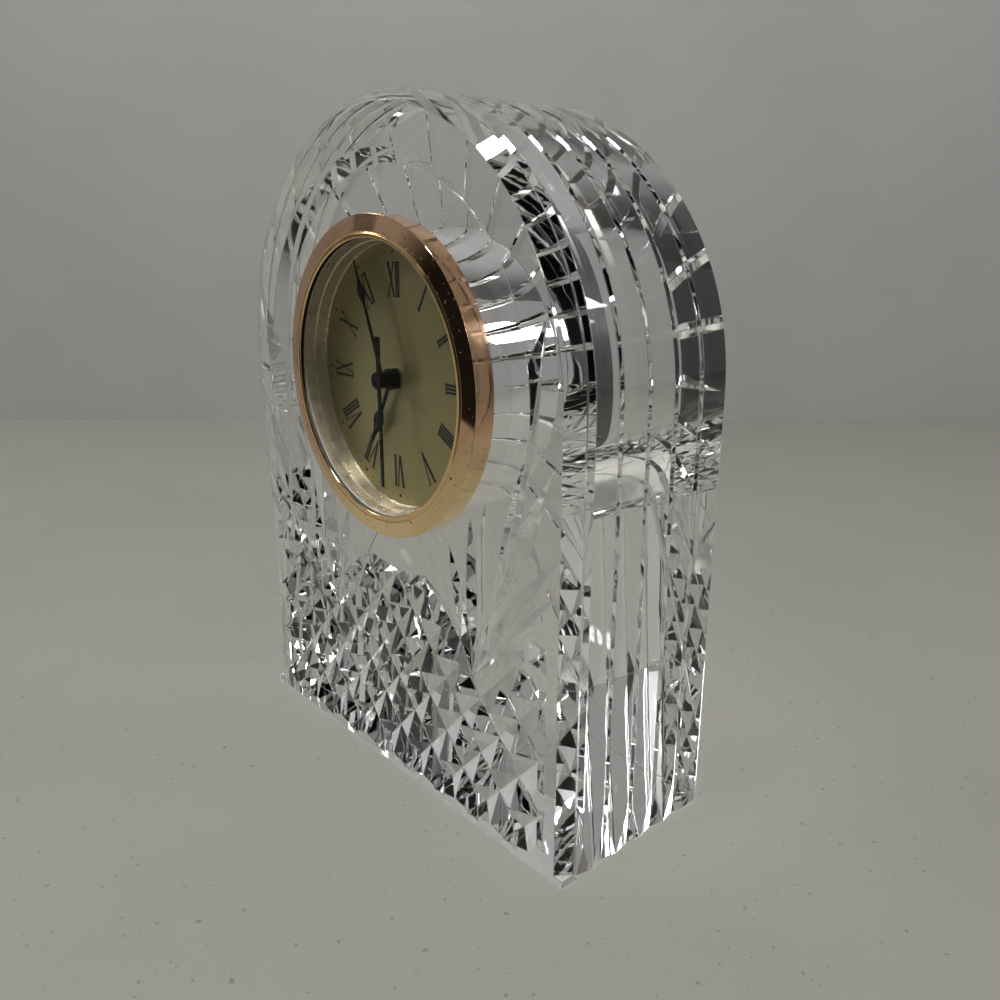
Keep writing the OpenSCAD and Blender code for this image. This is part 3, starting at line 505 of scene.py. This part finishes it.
def merged_copy(node, name, body, sharp_degrees, arris=0.0):
    """A welded copy of a CAD node with softened arrises, that stands for the node."""
    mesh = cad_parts[node].data.copy()
    if "custom_normal" in mesh.attributes:
        mesh.attributes.remove(mesh.attributes["custom_normal"])
    shape = bmesh.new()
    shape.from_mesh(mesh)
    bmesh.ops.remove_doubles(shape, verts=shape.verts, dist=WELD)
    bmesh.ops.dissolve_degenerate(shape, edges=shape.edges, dist=1e-8)
    bmesh.ops.dissolve_limit(
        shape, verts=shape.verts, edges=shape.edges, angle_limit=math.radians(0.3)
    )
    shape.to_mesh(mesh)
    shape.free()
    piece = bpy.data.objects.new(name, mesh)
    bpy.context.scene.collection.objects.link(piece)
    mesh.shade_smooth()
    if arris:
        soften_arrises(piece, arris, sharp_degrees)
    else:
        mesh.set_sharp_from_angle(angle=math.radians(sharp_degrees))
    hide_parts(node)
    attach(piece, body)
    return piece


def soften_arrises(piece, width, degrees):
    """Round the piece's sharp edges by a width, and keep its flat faces flat."""
    bevel = piece.modifiers.new("soft_arrises", "BEVEL")
    bevel.width = width
    bevel.segments = 2
    bevel.limit_method = "ANGLE"
    bevel.angle_limit = math.radians(degrees)
    bevel.use_clamp_overlap = True
    bevel.harden_normals = True


def lathe(name, outline, rounding, steps=240):
    """A ring turned round the clock's axis from (radius, y) corners in millimetres.

    Each corner is rounded by the same width before the turning.
    """
    shape = bmesh.new()
    corners = [shape.verts.new((radius * MM, y * MM, 0)) for radius, y in outline]
    shape.faces.new(corners)
    bmesh.ops.bevel(
        shape, geom=shape.verts[:], offset=rounding * MM, offset_type="OFFSET", segments=3,
        profile=0.5, affect="VERTICES", material=-1,
    )
    bmesh.ops.delete(shape, geom=shape.faces[:], context="FACES_ONLY")
    bmesh.ops.spin(
        shape, geom=shape.verts[:] + shape.edges[:], cent=(0, 0, 0), axis=(0, 1, 0),
        angle=math.tau, steps=steps, use_merge=True, use_duplicate=False,
    )
    bmesh.ops.remove_doubles(shape, verts=shape.verts, dist=WELD)
    bmesh.ops.translate(shape, verts=shape.verts, vec=(0, 0, CLOCK_Z))
    bmesh.ops.recalc_face_normals(shape, faces=shape.faces)
    mesh = bpy.data.meshes.new(name)
    shape.to_mesh(mesh)
    shape.free()
    piece = bpy.data.objects.new(name, mesh)
    bpy.context.scene.collection.objects.link(piece)
    mesh.shade_smooth()
    mesh.set_sharp_from_angle(angle=math.radians(40))
    even = piece.modifiers.new("even_light", "WEIGHTED_NORMAL")
    even.keep_sharp = True
    return piece


def colour_by_radius(piece, radius, material):
    """Give a second material to the front faces that lie inside a radius in millimetres."""
    piece.data.materials.append(material)
    for face in piece.data.polygons:
        across = math.hypot(face.center.x, face.center.z - CLOCK_Z)
        if across < radius * MM and face.center.y < BEZEL_FRONT_Y:
            face.material_index = 1


crystal = merged_copy("crystal_block", "cut_crystal_block", "root", 12)
put_on(crystal, CRYSTAL)

bezel = lathe("gilt_bezel", [
    (24.5, -13.9), (24.5, -17.2), (22.0, -17.68), (21.85, -17.58), (21.7, -17.78),
    (21.15, -17.78), (21.0, -17.55), (21.9, -17.55), (21.9, -16.45), (22.9, -16.45),
    (22.9, -13.9),
], 0.06)
put_on(bezel, ROSE_GOLD)
colour_by_radius(bezel, LIP_RADIUS, GOLD_LIP)
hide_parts("bezel")
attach(bezel, "insert")

ring = lathe("ribbed_dial_ring", [
    (21.34, -16.45), (20.98, -16.45), (20.82, -14.9), (20.6, -14.82), (20.46, -13.05),
    (20.32, -12.95), (20.3, -12.6), (21.34, -12.6),
], 0.05)
put_on(ring, CHAMPAGNE)
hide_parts("reflector_ring")
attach(ring, "insert")

hour_hand = merged_copy("hour_hand", "black_hour_hand", "hours", 30, 0.06 * MM)
minute_hand = merged_copy("minute_hand", "black_minute_hand", "minutes", 30, 0.06 * MM)
second_hand = merged_copy("second_hand", "black_second_hand", "seconds", 30, 0.05 * MM)
for hand in (hour_hand, minute_hand, second_hand):
    put_on(hand, BLACK_HANDS)

cup = merged_copy("case_cup", "moulded_case", "insert", 30, 0.15 * MM)
put_on(cup, DARK_PLASTIC)
knob = merged_copy("setting_knob", "ribbed_setting_knob", "setting", 30, 0.12 * MM)
put_on(knob, DARK_PLASTIC)
hatch = merged_copy("battery_cover", "moulded_battery_cover", "cover", 30, 0.1 * MM)
put_on(hatch, DARK_PLASTIC)
grip = merged_copy("grip_ring", "soft_grip_ring", "insert", 30, 0.1 * MM)
put_on(grip, BLACK_RUBBER)

FINISHES = {
    "lens": LENS_GLASS,
    "lens_gasket": CLEAR_RUBBER,
    "dial": DIAL,
    "dial_numerals": BLACK_INK,
    "dial_dots": BLACK_INK,
    "centre_nut": NICKEL,
    "main_plate": DARK_PLASTIC,
    "train_bridge": BRASS,
    "rotor_magnet": MAGNET,
    "rotor_pinion": STEEL,
    "stator": SOFT_IRON,
    "coil_core": SOFT_IRON,
    "coil_bobbin": DARK_PLASTIC,
    "coil_winding": COPPER,
    "circuit_board": BOARD_GREEN,
    "quartz_can": NICKEL,
    "ic_chip": DARK_PLASTIC,
    "intermediate_wheel": BRASS,
    "fourth_wheel": BRASS,
    "third_wheel": BRASS,
    "centre_wheel": BRASS,
    "cannon_pinion": STEEL,
    "minute_wheel": BRASS,
    "hour_wheel": BRASS,
    "setting_stem": STEEL,
    "battery": NICKEL,
    "positive_contact": SPRING_BRASS,
    "negative_contact": SPRING_BRASS,
    "bridge_screws": STEEL,
    "plate_screws": STEEL,
}
for node, material in FINISHES.items():
    put_on(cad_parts[node], material)

# ---- stage, light and camera ----


def backdrop_material(name, colour, fleck):
    """A pale painted board with a faint mottle and small flecks."""
    material, tree, shader = new_material(name)
    place = object_place(tree)
    mottle = spread(tree, noise(tree, place, 14.0, 3), 0.35, 0.65)
    darker = tuple(0.96 * c for c in colour)
    ground = blend_colours(tree, mottle, (*colour, 1), (*darker, 1))
    flecks = spread(tree, noise(tree, place, 900.0, 1, 0.3), 0.2, 0.3)
    flecked = blend_colours(tree, flecks, tuple(fleck * c for c in colour) + (1,), ground)
    feed(tree, flecked, shader.inputs["Base Color"])
    shader.inputs["Roughness"].default_value = 0.55
    return material


def stage_plane(name, size, place, turn, material):
    mesh = bpy.data.meshes.new(name)
    shape = bmesh.new()
    bmesh.ops.create_grid(shape, x_segments=1, y_segments=1, size=size)
    bmesh.ops.transform(shape, verts=shape.verts, matrix=Matrix.Translation(place) @ turn)
    shape.to_mesh(mesh)
    shape.free()
    plane = bpy.data.objects.new(name, mesh)
    bpy.context.scene.collection.objects.link(plane)
    mesh.materials.append(material)
    return plane


def from_camera(forward, right, height):
    """A place given along the view, across it and above the floor, in metres."""
    return (
        right * math.cos(VIEW_YAW) - forward * math.sin(VIEW_YAW),
        right * math.sin(VIEW_YAW) + forward * math.cos(VIEW_YAW),
        height,
    )


TABLE = backdrop_material("pale_table", (0.29, 0.285, 0.25), 0.6)
WALL = backdrop_material("pale_wall", (0.53, 0.53, 0.52), 0.97)
TABLE_DEPTH, WALL_FORWARD = 0.37, 0.287
table_middle = WALL_FORWARD - TABLE_DEPTH / 2
stage_plane(
    "table_top", 0.5, from_camera(table_middle, 0, -0.08 * MM),
    Matrix.Rotation(VIEW_YAW, 4, "Z") @ Matrix.Diagonal((2.4, TABLE_DEPTH, 1, 1)), TABLE,
)
stage_plane(
    "wall", 1.2, from_camera(WALL_FORWARD, 0, 0),
    Matrix.Rotation(VIEW_YAW, 4, "Z") @ Matrix.Rotation(math.radians(90), 4, "X"), WALL,
)


def softbox(name, place, aim, size, power, colour=(1, 1, 1)):
    """A soft rectangular lamp."""
    lamp = bpy.data.lights.new(name, "AREA")
    lamp.shape = "RECTANGLE"
    lamp.size, lamp.size_y = size
    lamp.energy = power
    lamp.color = colour
    holder = bpy.data.objects.new(name, lamp)
    holder.location = place
    holder.rotation_euler = (Vector(aim) - Vector(place)).to_track_quat("-Z", "Y").to_euler()
    bpy.context.scene.collection.objects.link(holder)


softbox("overhead_softbox", (-0.01, -0.14, 0.75), (0, 0, 0.05), (0.08, 0.17), 3.6)
softbox("left_softbox", (-0.7, -0.35, 0.45), (0, 0, 0.05), (0.2, 0.2), 2.2)
softbox("side_window", (0.5, 0.53, 0.42), (0, 0, 0.05), (0.08, 0.16), 0.7)


def room_world(name, base, patches):
    """The room round the table: an even grey with soft lighter and darker parts.

    Each part is a direction, the angles in degrees where it is full and gone, and its level.
    """
    world = bpy.data.worlds.new(name)
    world.use_nodes = True
    tree = world.node_tree
    direction = tree.nodes.new("ShaderNodeTexCoord").outputs["Generated"]
    level = base
    for aim, inner, outer, strength in patches:
        towards = add_node(tree, "ShaderNodeVectorMath", operation="DOT_PRODUCT")
        feed(tree, direction, towards.inputs[0])
        towards.inputs[1].default_value = Vector(aim).normalized()
        share = spread(
            tree, towards.outputs["Value"], math.cos(math.radians(outer)),
            math.cos(math.radians(inner)),
        )
        mixed = add_node(tree, "ShaderNodeMix", data_type="FLOAT")
        feed(tree, share, mixed.inputs[0])
        feed(tree, level, mixed.inputs[2])
        feed(tree, strength, mixed.inputs[3])
        level = mixed.outputs[0]
    background = tree.nodes["Background"]
    background.inputs["Color"].default_value = (1, 0.995, 0.97, 1)
    feed(tree, level, background.inputs["Strength"])
    bpy.context.scene.world = world


room_world("studio_room", 0.26, [
    ((0.3, -0.75, 0.6), 25, 50, 0.03),
    ((0.5, -0.85, 0.0), 25, 40, 0.02),
    ((-0.45, -0.87, -0.08), 18, 28, 0.01),
    ((0.0, 0.0, -1.0), 40, 60, 0.02),
    ((0.2, 0.3, 0.95), 12, 20, 1.6),
    ((-0.75, -0.2, 0.6), 6, 10, 3.0),
])

scene = bpy.context.scene
scene.view_settings.view_transform = "Standard"
scene.cycles.max_bounces = 32
scene.cycles.transmission_bounces = 12
scene.cycles.glossy_bounces = 6
scene.cycles.transparent_max_bounces = 32

camera = bpy.data.objects.new("camera", bpy.data.cameras.new("camera"))
camera.location = CAMERA_PLACE
camera.rotation_euler = [math.radians(a) for a in CAMERA_TURN]
camera.data.sensor_width = 36
camera.data.lens = CAMERA_LENS
camera.data.clip_start = 0.001
scene.collection.objects.link(camera)
scene.camera = camera
